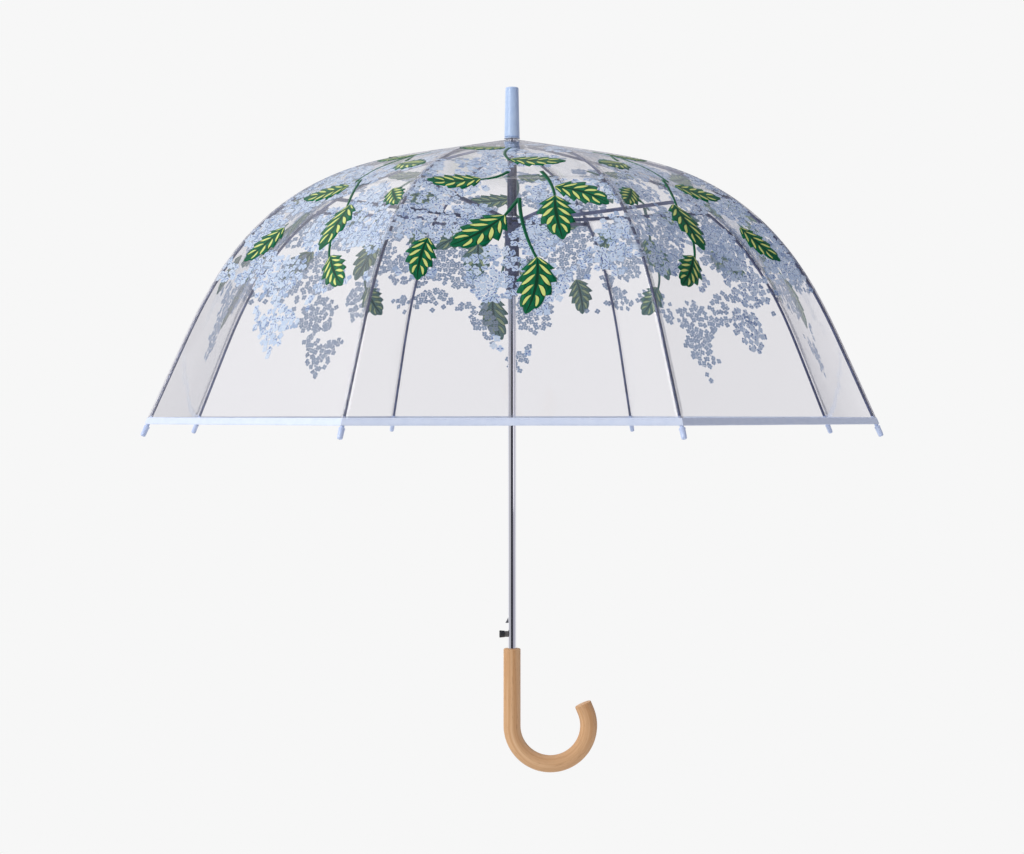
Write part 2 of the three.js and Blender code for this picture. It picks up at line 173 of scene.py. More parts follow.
def turned_about_z(points, angle):
    cosine, sine = math.cos(angle), math.sin(angle)
    spin = np.array([[cosine, sine, 0], [-sine, cosine, 0], [0, 0, 1]])
    return np.asarray(points, float) @ spin


def added(name, mesh, materials, smooth_degrees):
    """An object for a mesh, smooth but for its sharp edges."""
    for material in materials:
        mesh.materials.append(material)
    mesh.polygons.foreach_set("use_smooth", [True] * len(mesh.polygons))
    mesh.set_sharp_from_angle(angle=math.radians(smooth_degrees))
    made = bpy.data.objects.new(name, mesh)
    bpy.context.scene.collection.objects.link(made)
    return made


def piece(name, points, faces, materials, angle=0.0, smooth_degrees=40):
    """A mesh object, with its points turned about the shaft by an angle."""
    mesh = bpy.data.meshes.new(name)
    mesh.from_pydata(turned_about_z(points, angle).tolist(), [], faces)
    return added(name, mesh, materials, smooth_degrees)


def faced_out(points, faces):
    """The same closed mesh with its faces pointing out."""
    work = bmesh.new()
    corners = [work.verts.new(point) for point in points]
    for face in faces:
        work.faces.new([corners[index] for index in face])
    bmesh.ops.recalc_face_normals(work, faces=work.faces)
    work.verts.index_update()
    faces = [tuple(v.index for v in f.verts) for f in work.faces]
    work.free()
    return faces


def swept(line, stations, sides):
    """A round bar in the plane of X and Z. line(along) gives x, z and the direction's x and z, and
    each station is a distance along it and a radius."""
    points = []
    for along, radius in stations:
        x, z, dx, dz = line(along)
        for side in range(sides):
            angle = 2 * math.pi * side / sides
            out, aside = radius * math.cos(angle), radius * math.sin(angle)
            points.append((x - dz * out, aside, z + dx * out))
    return points, faced_out(points, tube_faces(len(stations), sides))


def merged(*solids):
    """Several closed meshes as one list of points and faces."""
    points, faces = [], []
    for some_points, some_faces in solids:
        base = len(points)
        points.extend([tuple(p) for p in some_points])
        faces.extend([tuple(base + index for index in face) for face in some_faces])
    return points, faces


def solidify(made, thickness, inner_slot=0, edge_slot=0):
    """Gives a sheet its thickness, inwards, with its own materials on the inner face and the edge."""
    modifier = made.modifiers.new("thickness", "SOLIDIFY")
    modifier.thickness = thickness
    modifier.offset = -1
    modifier.material_offset = inner_slot
    modifier.material_offset_rim = edge_slot


def bevel(made, width, segments=2):
    modifier = made.modifiers.new("edges", "BEVEL")
    modifier.width = width
    modifier.segments = segments
    modifier.limit_method = "ANGLE"
    modifier.angle_limit = math.radians(35)
    modifier.harden_normals = True


def joined(mesh):
    """A mesh as a bmesh, with its triangles joined into faces."""
    work = bmesh.new()
    work.from_mesh(mesh)
    bmesh.ops.remove_doubles(work, verts=work.verts, dist=1e-6)
    bmesh.ops.dissolve_limit(work, angle_limit=math.radians(1), verts=work.verts, edges=work.edges)
    return work


def refined(node, body, slot, material, edge=0.15 * MM):
    """A CAD node's own shape with its triangles joined into faces and its edges rounded."""
    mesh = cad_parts[node].data.copy()
    work = joined(mesh)
    bmesh.ops.recalc_face_normals(work, faces=work.faces)
    work.to_mesh(mesh)
    work.free()
    mesh.materials.clear()
    made = added(f"{node}_finished", mesh, [material], 30)
    bevel(made, edge)
    return mount(made, body, slot, node)


def mount(made, body, slot, *nodes):
    """Rides on a body and stands for its CAD nodes, which it hides. The slot is not used."""
    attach(made, body)
    if nodes:
        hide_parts(*nodes)
    return made


def blend_by_share(made):
    """A gore is a wedge and a coil is a helix. Only the object's placement is baked into its mesh; no
    share is written."""
    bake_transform(made)
    return made


# ---------------------------------------------------------------- materials
class Nodes:
    """Adds shader nodes to a tree. Each method returns the new node's output."""

    def __init__(self, tree):
        self.tree = tree

    def node(self, kind, settings=(), outputs=0, **inputs):
        made = self.tree.nodes.new(kind)
        for name, value in dict(settings).items():
            setattr(made, name, value)
        for name, value in inputs.items():
            self.feed(made.inputs[name.replace("_", " ")], value)
        return made.outputs[outputs]

    def feed(self, socket, value):
        if isinstance(value, bpy.types.NodeSocket):
            self.tree.links.new(value, socket)
        else:
            socket.default_value = value

    def math(self, operation, *values):
        made = self.tree.nodes.new("ShaderNodeMath")
        made.operation = operation
        for socket, value in zip(made.inputs, values):
            self.feed(socket, value)
        return made.outputs[0]

    def vector(self, operation, *values, length=False):
        made = self.tree.nodes.new("ShaderNodeVectorMath")
        made.operation = operation
        for socket, value in zip(made.inputs, values):
            self.feed(socket, value)
        return made.outputs["Value" if length else "Vector"]

    def mix(self, factor, first, second):
        made = self.tree.nodes.new("ShaderNodeMix")
        made.data_type = "RGBA"
        self.feed(made.inputs[0], factor)
        self.feed(made.inputs[6], first)
        self.feed(made.inputs[7], second)
        return made.outputs[2]

    def noise(self, vector, scale, detail=3.0):
        return self.node("ShaderNodeTexNoise", Vector=vector, Scale=scale, Detail=detail)

    def range(self, value, low, high, to_low=0.0, to_high=1.0):
        made = self.tree.nodes.new("ShaderNodeMapRange")
        for socket, number in zip(made.inputs, (value, low, high, to_low, to_high)):
            self.feed(socket, number)
        return made.outputs[0]

    def mix_shader(self, factor, first, second):
        made = self.tree.nodes.new("ShaderNodeMixShader")
        self.feed(made.inputs[0], factor)
        self.feed(made.inputs[1], first)
        self.feed(made.inputs[2], second)
        return made.outputs[0]


def new_material(name):
    material = bpy.data.materials.new(name)
    material.use_nodes = True
    material.node_tree.nodes.clear()
    output = material.node_tree.nodes.new("ShaderNodeOutputMaterial")
    return material, Nodes(material.node_tree), output


def solid_material(name, light, dark, grain=900, metallic=0.0, roughness=(0.35, 0.5), bump=0.05,
                   stretch=(1, 1, 1), coat=0.0):
    """Paint, resin or metal: two close colours, roughness and a fine bump, all from noise."""
    material, g, output = new_material(name)
    place = g.node("ShaderNodeTexCoord", outputs="Object")
    place = g.vector("MULTIPLY", place, stretch)
    fine = g.noise(place, grain)
    broad = g.noise(place, grain / 18)
    shader = g.tree.nodes.new("ShaderNodeBsdfPrincipled")
    g.feed(shader.inputs["Base Color"], g.mix(g.range(broad, 0.35, 0.65), light, dark))
    g.feed(shader.inputs["Roughness"], g.range(fine, 0.3, 0.7, *roughness))
    shader.inputs["Metallic"].default_value = metallic
    shader.inputs["Coat Weight"].default_value = coat
    g.feed(shader.inputs["Normal"],
           g.node("ShaderNodeBump", Strength=bump, Distance=0.0003, Height=fine))
    g.feed(output.inputs["Surface"], shader.outputs[0])
    return material


def beech_material():
    """Bent beech: the grain follows the handle, by the attribute that the handle's mesh carries."""
    material, g, output = new_material("beech")
    place = g.node("ShaderNodeAttribute", {"attribute_name": "grain"}, outputs="Vector")
    long_grain = g.noise(g.vector("MULTIPLY", place, (5, 210, 210)), 1.0, 6.0)
    flecks = g.noise(g.vector("MULTIPLY", place, (90, 900, 900)), 1.0, 2.0)
    colour = g.mix(g.range(long_grain, 0.32, 0.68), srgb(230, 190, 148), srgb(198, 148, 102))
    colour = g.mix(g.range(flecks, 0.62, 0.72, 0, 0.45), colour, srgb(150, 104, 70))
    shader = g.tree.nodes.new("ShaderNodeBsdfPrincipled")
    g.feed(shader.inputs["Base Color"], colour)
    g.feed(shader.inputs["Roughness"], g.range(long_grain, 0.3, 0.7, 0.42, 0.55))
    shader.inputs["Specular IOR Level"].default_value = 0.1
    g.feed(shader.inputs["Normal"],
           g.node("ShaderNodeBump", Strength=0.12, Distance=0.0003, Height=flecks))
    g.feed(output.inputs["Surface"], shader.outputs[0])
    return material


FLORET = 7.9 * MM  # from one printed floret to the next
FLORET_WIDE = 8.6 * MM
HEAD = 70 * MM  # from one flower head to the next
PRINT_START = 88 * MM
PRINT_END = 430 * MM  # beside the ribs
PRINT_DROP = 112 * MM  # how much further the print hangs down the middle of a gore
DROP_HALF = 68 * MM


def florets(g, place, shift):
    """Four-petalled florets, one in each cell of a Voronoi pattern. Returns the distance from the
    nearest petal's middle, a mask of small dashes, a random number for each floret, and whether it
    is inside a flower head."""
    cell = g.tree.nodes.new("ShaderNodeTexVoronoi")
    cell.voronoi_dimensions = "2D"
    g.feed(cell.inputs["Vector"], g.vector("ADD", place, shift))
    cell.inputs["Scale"].default_value = 1 / FLORET
    cell.inputs["Randomness"].default_value = 0.62
    centre = g.vector("SUBTRACT", cell.outputs["Position"], shift)
    chance = g.node("ShaderNodeSeparateColor", Color=cell.outputs["Color"]).node.outputs
    spin = g.tree.nodes.new("ShaderNodeVectorRotate")
    spin.rotation_type = "Z_AXIS"
    g.feed(spin.inputs["Vector"], g.vector("SUBTRACT", place, centre))
    g.feed(spin.inputs["Angle"], g.math("MULTIPLY", chance[0], 2 * math.pi))
    local = g.vector("ABSOLUTE", spin.outputs[0])
    reach = 0.27 * FLORET_WIDE
    nearest = g.math("MINIMUM", g.vector("DISTANCE", local, (reach, 0, 0), length=True),
                     g.vector("DISTANCE", local, (0, reach, 0), length=True))
    parts = g.node("ShaderNodeSeparateXYZ", Vector=local).node.outputs
    along = g.math("ABSOLUTE", g.math("SUBTRACT", parts[1], 0.2 * FLORET_WIDE))
    dash = g.math("MULTIPLY", g.math("LESS_THAN", parts[0], 0.052 * FLORET_WIDE),
                  g.math("LESS_THAN", along, 0.13 * FLORET_WIDE))
    dash = g.math("MULTIPLY", dash, g.math("GREATER_THAN", chance[1], 0.4))
    return nearest, dash, chance[2], flower_heads(g, centre)


def flower_heads(g, centre):
    """1 where a floret's centre is inside a flower head. The heads hang lowest in mid gore."""
    head = g.tree.nodes.new("ShaderNodeTexVoronoi")
    head.voronoi_dimensions = "2D"
    g.feed(head.inputs["Vector"], centre)
    head.inputs["Scale"].default_value = 1 / HEAD
    head.inputs["Randomness"].default_value = 0.6
    size = g.node("ShaderNodeSeparateColor", Color=head.outputs["Color"])
    ragged = g.math("SUBTRACT", g.noise(centre, 90.0), 0.5)
    limit = g.math("MULTIPLY_ADD", ragged, 0.3, g.range(size, 0.0, 1.0, 0.38, 0.54))
    parts = g.node("ShaderNodeSeparateXYZ", Vector=centre).node.outputs
    # The heads are small and far between near the top.
    limit = g.math("MULTIPLY", limit, g.range(parts[1], PRINT_START, 235 * MM, 0.35, 1.0))
    inside = g.math("LESS_THAN", head.outputs["Distance"], limit)
    # The gores lie side by side in the print's plane, one metre apart.
    aside = g.math("ABSOLUTE", g.math("SUBTRACT", parts[0], g.math("ROUND", parts[0])))
    lowest = g.range(aside, 0.0, DROP_HALF, PRINT_END + PRINT_DROP, PRINT_END)
    lowest = g.math("MULTIPLY_ADD", ragged, 0.09, lowest)
    below = g.math("LESS_THAN", parts[1], lowest)
    above = g.math("GREATER_THAN", parts[1], PRINT_START)
    return g.math("MULTIPLY", inside, g.math("MULTIPLY", below, above))


def print_group():
    """The flower print, as a node group: its colour and how much ink there is. The upper of its two
    layers of florets leaves a fine clear outline round itself in the lower one."""
    tree = bpy.data.node_groups.new("flower_print", "ShaderNodeTree")
    tree.interface.new_socket("Color", in_out="OUTPUT", socket_type="NodeSocketColor")
    tree.interface.new_socket("Ink", in_out="OUTPUT", socket_type="NodeSocketFloat")
    g = Nodes(tree)
    place = g.node("ShaderNodeAttribute", {"attribute_name": "cloth"}, outputs="Vector")
    petal = 0.215 * FLORET_WIDE
    outline_wide = 0.65 * MM
    layers = (
        ((0.0, 0.0, 0.0), 0.36, srgb(158, 178, 208), srgb(180, 200, 227)),
        ((0.2173, 0.1312, 0.0), 0.1, srgb(202, 220, 243), srgb(224, 236, 250)),
    )
    colour, ink = srgb(170, 189, 214), 0.0
    for shift, missing, first, second in layers:
        nearest, dash, chance, inside = florets(g, place, shift)
        inside = g.math("MULTIPLY", inside, g.math("GREATER_THAN", chance, missing))
        petals = g.math("MULTIPLY", g.math("LESS_THAN", nearest, petal), inside)
        outlines = g.math("MULTIPLY", g.math("LESS_THAN", nearest, petal + outline_wide), inside)
        tint = g.mix(dash, g.mix(chance, first, second), srgb(70, 92, 172))
        colour = g.mix(petals, colour, tint)
        clear = g.math("SUBTRACT", 1.0, outlines)
        ink = g.math("MAXIMUM", petals, g.math("MULTIPLY", ink, clear))
    output = tree.nodes.new("NodeGroupOutput")
    g.feed(output.inputs["Color"], colour)
    g.feed(output.inputs["Ink"], ink)
    return tree


FILM_TINT = (0.963, 0.961, 0.970, 1)  # one face's: a sheet has two


def film_material(name, print_tree=None, inside=False):
    """Clear glossy film, with ink on it where the print is."""
    material, g, output = new_material(name)
    place = g.node("ShaderNodeTexCoord", outputs="Object")
    ripple = g.node("ShaderNodeBump", Strength=0.25, Distance=0.002,
                    Height=g.noise(g.vector("MULTIPLY", place, (1, 1, 0.35)), 26.0, 2.0))
    clear = g.node("ShaderNodeBsdfTransparent", Color=FILM_TINT)
    if print_tree is not None:
        group = g.tree.nodes.new("ShaderNodeGroup")
        group.node_tree = print_tree
        colour = group.outputs["Color"]
        # The inside face shows the back of the ink, which is greyer and flatter. It is darkened further as
        # painted shade for the shaded inside of the canopy.
        if inside:
            colour = g.mix(0.85, colour, srgb(156, 174, 198))
        ink = g.mix_shader(0.3, g.node("ShaderNodeBsdfDiffuse", Color=colour),
                           g.node("ShaderNodeBsdfTranslucent", Color=colour))
        opacity = g.math("MULTIPLY", group.outputs["Ink"], 0.86 if inside else 0.93)
        clear = g.mix_shader(opacity, clear, ink)
    facing = g.node("ShaderNodeLayerWeight", outputs="Facing", Blend=0.5)
    shine = g.math("MULTIPLY_ADD", g.math("POWER", facing, 4.0), 0.55, 0.025)
    gloss = g.node("ShaderNodeBsdfGlossy", Color=(1, 1, 1, 1), Roughness=0.07, Normal=ripple)
    g.feed(output.inputs["Surface"], g.mix_shader(shine, clear, gloss))
    return material


def film_edge_material():
    """The film's cut edge, which meets the next panel's and shouldn't show."""
    material, g, output = new_material("film_edge")
    place = g.node("ShaderNodeTexCoord", outputs="Object")
    haze = g.range(g.noise(place, 60.0), 0.0, 1.0, 0.97, 1.0)
    g.feed(output.inputs["Surface"], g.node("ShaderNodeBsdfTransparent", Color=haze))
    return material


STRIPES = 5.5  # on each side of a leaf
STRIPE_SLANT = 1.5
STRIPE_HALF = 0.25  # as shares of a stripe's room
STRIPE_EDGE = 0.38
MIDRIB_HALF = 0.09


def leaf_material(name, deep, bright, vein):
    """Printed leaves. The leaf attribute holds the place along and across a leaf. A stem carries a
    place near a leaf's tip, where there are no stripes."""
    material, g, output = new_material(name)
    place = g.node("ShaderNodeAttribute", {"attribute_name": "leaf"}, outputs="Vector")
    parts = g.node("ShaderNodeSeparateXYZ", Vector=place).node.outputs
    along, across = parts[0], parts[1]
    aside = g.math("ABSOLUTE", across)
    slant = g.math("MULTIPLY_ADD", aside, -STRIPE_SLANT, g.math("MULTIPLY", along, STRIPES))
    off_middle = g.math("ABSOLUTE", g.math("SUBTRACT", g.math("FRACT", slant), 0.5))
    # Each stripe is a stroke that tapers towards the midrib and towards the edge.
    swell = g.math("SINE", g.range(aside, 0.14, 0.86, 0.0, math.pi))
    inner = g.math("LESS_THAN", along, 0.86)

    def strokes(width):
        return g.math("MULTIPLY", g.math("LESS_THAN", off_middle, g.math("MULTIPLY", swell, width)), inner)

    stripe = strokes(STRIPE_HALF)
    colour = g.mix(g.range(g.noise(place, 5.0), 0.4, 0.6), deep, bright)
    shade = g.math("MAXIMUM", strokes(STRIPE_EDGE), g.math("LESS_THAN", aside, MIDRIB_HALF))
    colour = g.mix(shade, colour, tuple(0.45 * part for part in deep[:3]) + (1,))
    colour = g.mix(stripe, colour, vein)
    shader = g.tree.nodes.new("ShaderNodeBsdfPrincipled")
    g.feed(shader.inputs["Base Color"], colour)
    g.feed(shader.inputs["Roughness"], g.range(g.noise(place, 9.0), 0.3, 0.7, 0.3, 0.42))
    shader.inputs["Specular IOR Level"].default_value = 0.15
    g.feed(output.inputs["Surface"], shader.outputs[0])
    return material


flower_print = print_group()
film_outside = film_material("film_outside", flower_print)
film_inside = film_material("film_inside", flower_print, inside=True)
film_plain = film_material("film_plain")
film_edge = film_edge_material()
leaf_outside = leaf_material("leaf_outside", srgb(0, 82, 50), srgb(0, 110, 72), srgb(208, 218, 128))
leaf_inside = leaf_material("leaf_inside", srgb(76, 112, 112), srgb(96, 130, 128), srgb(158, 178, 138))
painted_steel = solid_material("painted_steel", srgb(88, 99, 136), srgb(62, 71, 104), 1500, metallic=0.3)
chrome = solid_material("chrome", srgb(232, 232, 236), srgb(218, 219, 225), 2600, metallic=1.0,
                        roughness=(0.04, 0.09), bump=0.006, stretch=(1, 1, 0.04))
blue_resin = solid_material("blue_resin", srgb(188, 210, 240), srgb(176, 200, 235), 1200,
                            roughness=(0.28, 0.38), bump=0.03, coat=0.3)
tip_resin = solid_material("tip_resin", srgb(198, 212, 242), srgb(188, 204, 238), 1200,
                           roughness=(0.28, 0.38), bump=0.03, coat=0.3)
tape_cloth = solid_material("tape", srgb(217, 227, 246), srgb(211, 222, 243), 2200,
                            roughness=(0.45, 0.6), bump=0.35)
thread = solid_material("thread", srgb(232, 236, 250), srgb(206, 214, 240), 3000,
                        roughness=(0.6, 0.8), bump=0.3)
dark_resin = solid_material("dark_resin", srgb(64, 74, 110), srgb(46, 54, 86), 1800,
                            roughness=(0.3, 0.45))
black_resin = solid_material("black_resin", srgb(40, 42, 46), srgb(26, 28, 32), 1800,
                             roughness=(0.3, 0.5), bump=0.08)
grey_resin = solid_material("grey_resin", srgb(118, 116, 114), srgb(98, 96, 96), 1800,
                            roughness=(0.3, 0.5), bump=0.08)
spring_steel = solid_material("spring_steel", srgb(70, 80, 118), srgb(50, 58, 92), 2600, metallic=0.5,
                              roughness=(0.25, 0.4))
bright_wire = solid_material("bright_wire", srgb(176, 178, 184), srgb(146, 148, 156), 2600, metallic=1.0,
                             roughness=(0.2, 0.35))
beech = beech_material()


# ---------------------------------------------------------------- canopy
def vector_attribute(mesh, name, values):
    attribute = mesh.attributes.new(name, "FLOAT_VECTOR", "POINT")
    attribute.data.foreach_set("vector", np.asarray(values, np.float32).ravel())


def gore_piece(name, distance, across, depth, faces, materials, number):
    """A piece that lies on a gore, from the rib on one side to the next."""
    angle = FIRST_RIB + (number - 1) * RIB_STEP + HALF_STEP
    points = film_point(distance, across, depth)
    made = piece(name, points, faces, materials, angle)
    return blend_by_share(made)


def grid_places(start, end, rows, columns):
    """How far along and how far across each point of a grid is, row by row."""
    along, across = np.meshgrid(np.linspace(start, end, rows), np.linspace(-1, 1, columns), indexing="ij")
    return along.ravel(), across.ravel()


def film_sheet(half, number, start, end, rows, columns):
    name = f"film_{half}_{number}"
    distance, across = grid_places(start, end, rows, columns)
    faces = [tuple(reversed(face)) for face in grid_faces(rows, columns)]
    made = gore_piece(name, distance, across, 0.0, faces, [film_outside, film_inside, film_edge],
                      number)
    aside = across * gore_half(distance)
    vector_attribute(made.data, "cloth", np.stack([aside + number, distance, 0 * distance], -1))
    solidify(made, FILM, 1, 2)
    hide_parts(f"canopy_{half}_{number}")
    return made


def on_gore(aside, distance):
    """Where a point of the print, so far aside from the middle of the gore, lies across it."""
    return np.clip(aside / gore_half(distance), -0.985, 0.985)


TEETH = 4.5  # on each side of a leaf
TOOTH_DEPTH = 0.42  # as a share of the leaf's half width
LEAF_HALF = 0.25  # as a share of its length
LEAF_POINT = 0.4 * MM


def leaf_shape(distance, aside, heading, length, bend):
    """A toothed leaf: places on the gore, leaf coordinates and faces. heading 0 points down."""
    rows, columns = 61, 7
    along, across = grid_places(0, 1, rows, columns)
    teeth = 1 + TOOTH_DEPTH * ((along * TEETH) % 1 - 0.5) * (along < 0.97)
    half = LEAF_HALF * length * np.sin(math.pi * along ** 0.85) ** 0.75 * teeth + LEAF_POINT
    turn = heading + bend * along
    forward, sideways = along * length, across * half
    down = forward * np.cos(turn) - sideways * np.sin(turn)
    right = forward * np.sin(turn) + sideways * np.cos(turn)
    place = np.stack([along, across * teeth, 0 * along], -1)
    return distance + down, aside + right, place, grid_faces(rows, columns)


def stem_shape(start, middle, end, width):
    """A printed stem along a bent line between three (distance, aside) places."""
    rows = 25
    share = np.linspace(0, 1, rows)[:, None]
    start, middle, end = (np.array(point, float) for point in (start, middle, end))
    line = (1 - share) ** 2 * start + 2 * share * (1 - share) * middle + share ** 2 * end
    way = np.gradient(line, axis=0)
    way /= np.linalg.norm(way, axis=1)[:, None]
    beside = np.stack([-way[:, 1], way[:, 0]], -1)
    half = width / 2 * (1 - 0.4 * share)
    both = np.stack([line - beside * half, line + beside * half], 1).reshape(-1, 2)
    leaf = np.stack([np.full(2 * rows, 0.95), np.tile([-0.5, 0.5], rows), np.zeros(2 * rows)], -1)
    return both[:, 0], both[:, 1], leaf, grid_faces(rows, 2)


# Two sprays, each with its leaves and its stems, drawn on a gore. A leaf has its distance
# from the top and aside in millimetres, its heading in degrees from straight down, its length in
# millimetres and its bend in degrees. A stem has three places on its way.
SPRAYS = (
    (((150, 8, 62, 54, 20), (222, 2, -70, 62, -12), (282, 34, 66, 58, 22), (300, -46, -78, 66, 18),
      (318, -46, 2, 70, -8), (352, 8, 38, 72, 14), (412, -26, -6, 70, 16),
      (386, 88, 20, 56, -10)),
     (((152, 2), (196, 14), (226, 2)), ((262, 4), (280, 14), (284, 36)),
      ((262, -32), (290, -44), (320, -46)),
      ((322, -8), (342, 2), (356, 10)), ((322, -8), (372, -8), (414, -26)))),
    (((160, -14, -50, 52, -18), (218, 12, 60, 60, 16), (276, -22, -56, 62, -14),
      (322, 20, 10, 72, -10), (404, 46, 36, 60, 12), (300, 76, 42, 50, 8),
      (352, -70, -24, 60, -12)),
     (((146, -4), (190, -22), (268, -18)), ((262, -14), (300, 4), (332, 20)),
      ((205, 10), (190, 4), (168, -12)), ((332, 22), (380, 24), (408, 46)))),
)


STEM = 4.4 * MM


def leaf_layout(number):
    """The shapes of one gore's stems and leaves. The sprays take turns, and so do their mirror images."""
    spray, stems = SPRAYS[number % 2]
    flip = 1 if number % 4 < 2 else -1
    shapes = []
    for stem in stems:
        places = [(down * MM, flip * aside * MM) for down, aside in stem]
        shapes.append(stem_shape(*places, STEM))
    for distance, aside, heading, length, bend in spray:
        shapes.append(leaf_shape(distance * MM, flip * aside * MM, flip * math.radians(heading),
                                 length * MM, flip * math.radians(bend)))
    return shapes


LEAF_LIFT = 0.12 * MM  # off the film
LEAF_STEP = 0.04 * MM  # from one shape to the next


def leaf_prints(half, number, low, high):
    """One gore's leaves on the upper or the lower film. Each goes with the half its middle is on."""
    distance, aside, leaf, faces, depth, count = [], [], [], [], [], 0
    for order, (down, right, place, some) in enumerate(leaf_layout(number)):
        if not low <= down.mean() < high:
            continue
        faces.extend([tuple(count + index for index in reversed(face)) for face in some])
        distance.append(down)
        aside.append(right)
        leaf.append(place)
        depth.append(np.full(len(down), -(LEAF_LIFT + order * LEAF_STEP)))
        count += len(down)
    distance, aside, depth = (np.concatenate(part) for part in (distance, aside, depth))
    made = gore_piece(f"leaf_print_{half}_{number}", distance, on_gore(aside, distance), depth, faces,
                      [leaf_outside, leaf_inside], number)
    vector_attribute(made.data, "leaf", np.concatenate(leaf))
    solidify(made, FILM + 0.5 * MM, 1)
    return made


def edge_tape(number):
    """The binding: a tape folded over the film's edge, with a slight pucker between stitches."""
    across_count, loop = 61, 14
    distance, across, depth = [], [], []
    for share in np.linspace(-1, 1, across_count):
        pucker = 1 + 0.14 * math.sin(share * 60) * math.sin(share * 23)
        for step in range(loop):
            angle = 2 * math.pi * step / loop
            run = math.copysign(abs(math.cos(angle)) ** 0.5, math.cos(angle))
            distance.append(CANOPY_EDGE - TAPE / 2 + run * TAPE / 2)
            depth.append(FILM / 2 + TAPE_HALF_THICK * pucker * math.sin(angle))
            across.append(share)
    distance, across, depth = np.array(distance), np.array(across), np.array(depth)
    faces = faced_out(film_point(distance, across, depth), tube_faces(across_count, loop))
    return gore_piece(f"edge_tape_{number}", distance, across, depth, faces, [tape_cloth], number)


def tape_stitches(number):
    """A row of stitches along the tape, each a small closed capsule of thread."""
    count, sides = 74, 6
    distance, across, depth, faces = [], [], [], []
    row = CANOPY_EDGE - TAPE * 0.78
    half_width = float(gore_half(row))
    length, thick = 2.9 * MM / half_width, 0.28 * MM
    capsule = ((-0.5, 0.3), (-0.36, 1), (0.36, 1), (0.5, 0.3))
    for index in range(count):
        middle = -1 + 2 * (index + 0.5) / count
        base = len(distance)
        for along, size in capsule:
            for side in range(sides):
                angle = 2 * math.pi * side / sides
                distance.append(row + thick * size * math.cos(angle))
                depth.append(-TAPE_HALF_THICK * 0.95 + FILM / 2 + thick * size * math.sin(angle))
                across.append(middle + along * length)
        faces.extend(tube_faces(len(capsule), sides, base))
    distance, across, depth = np.array(distance), np.array(across), np.array(depth)
    faces = faced_out(film_point(distance, across, depth), faces)
    return gore_piece(f"tape_stitches_{number}", distance, across, depth, faces, [thread], number)


def seam(half, number, start, end):
    """The welded seam over a rib: a narrow strip of film, a little proud of the gores."""
    rows, columns = 60, 5
    points = []
    for distance in np.linspace(start, end, rows):
        x, z = rib_line(distance, -0.25 * MM)
        width = min(SEAM_HALF, float(gore_half(distance)) * 0.8)
        for share in np.linspace(-1, 1, columns):
            points.append((x - abs(share) * width * math.tan(HALF_STEP) * 0.8, share * width, z))
    faces = [tuple(reversed(face)) for face in grid_faces(rows, columns)]
    made = piece(f"seam_{half}_{number}", points, faces, [film_plain], rib_angle(number))
    solidify(made, SEAM_THICK)
    return mount(made, f"{half}_rib_{number}", "clear_film")


def rib_angle(number):
    return FIRST_RIB + (number - 1) * RIB_STEP


# ---------------------------------------------------------------- ribs
def rib_path(drop=0.0, drop_start=0.0, drop_end=1.0):
    """The line of a rib wire, which drops to its pivot near the crown."""
    def line(along):
        share = np.clip((along - drop_start) / (drop_end - drop_start), 0, 1)
        depth = RIB_DEPTH + drop * (1 - share * share * (3 - 2 * share))
        x, z = rib_line(along, depth)
        slope = float(slope_at(along))
        return float(x), float(z), math.cos(slope), -math.sin(slope)
    return line


def straight(origin, direction):
    def line(along):
        return (origin[0] + along * direction[0], origin[1] + along * direction[1],
                direction[0], direction[1])
    return line


def stations(start, end, count, radius):
    """Evenly spaced stations with rounded ends."""
    soft = 0.5 * MM
    middle = [(along, radius) for along in np.linspace(start + soft, end - soft, count)]
    return [(start, radius * 0.6), *middle, (end, radius * 0.6)]


def rib_wires():
    """The smooth wires of the upper and the lower rib, drawn in the plane of +X."""
    drop_start, drop_end, drop = 22 * MM, 45 * MM, 1.7 * MM
    upper = swept(rib_path(drop, drop_start, drop_end),
                  stations(drop_start, ELBOW - 8 * MM, 70, RIB_RADIUS), 14)
    lower = swept(rib_path(), stations(ELBOW + 6 * MM, RIB_END, 80, RIB_RADIUS), 14)
    return upper, lower


def rib_fittings(node, keep):
    """A CAD rib's fittings at its elbow and crown, without the plain wire between them."""
    work = joined(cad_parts[node].data)
    plain_wire = [v for v in work.verts if not keep(math.hypot(v.co.x, v.co.y))]
    bmesh.ops.delete(work, geom=plain_wire, context="VERTS")
    open_edges = [e for e in work.edges if e.is_boundary]
    bmesh.ops.holes_fill(work, edges=open_edges, sides=0)
    bmesh.ops.recalc_face_normals(work, faces=work.faces)
    work.verts.index_update()
    points = [tuple(v.co) for v in work.verts]
    faces = [tuple(v.index for v in f.verts) for f in work.faces]
    work.free()
    return points, faces


def rib(half, number, wire):
    """A rib: its smooth wire, with the CAD model's own fittings on the ends."""
    node = f"rib_{half}_{number}"
    elbow_radius = float(outline(ELBOW)[0])
    elbow_reach, crown_reach = 22 * MM, 24 * MM
    fittings = rib_fittings(
        node, lambda radius: abs(radius - elbow_radius) < elbow_reach or radius < crown_reach)
    points = turned_about_z(wire[0], rib_angle(number)).tolist()
    points, faces = merged((points, wire[1]), fittings)
    made = piece(f"{node}_finished", points, faces, [painted_steel], smooth_degrees=35)
    return mount(made, f"{half}_rib_{number}", "painted_steel", node)


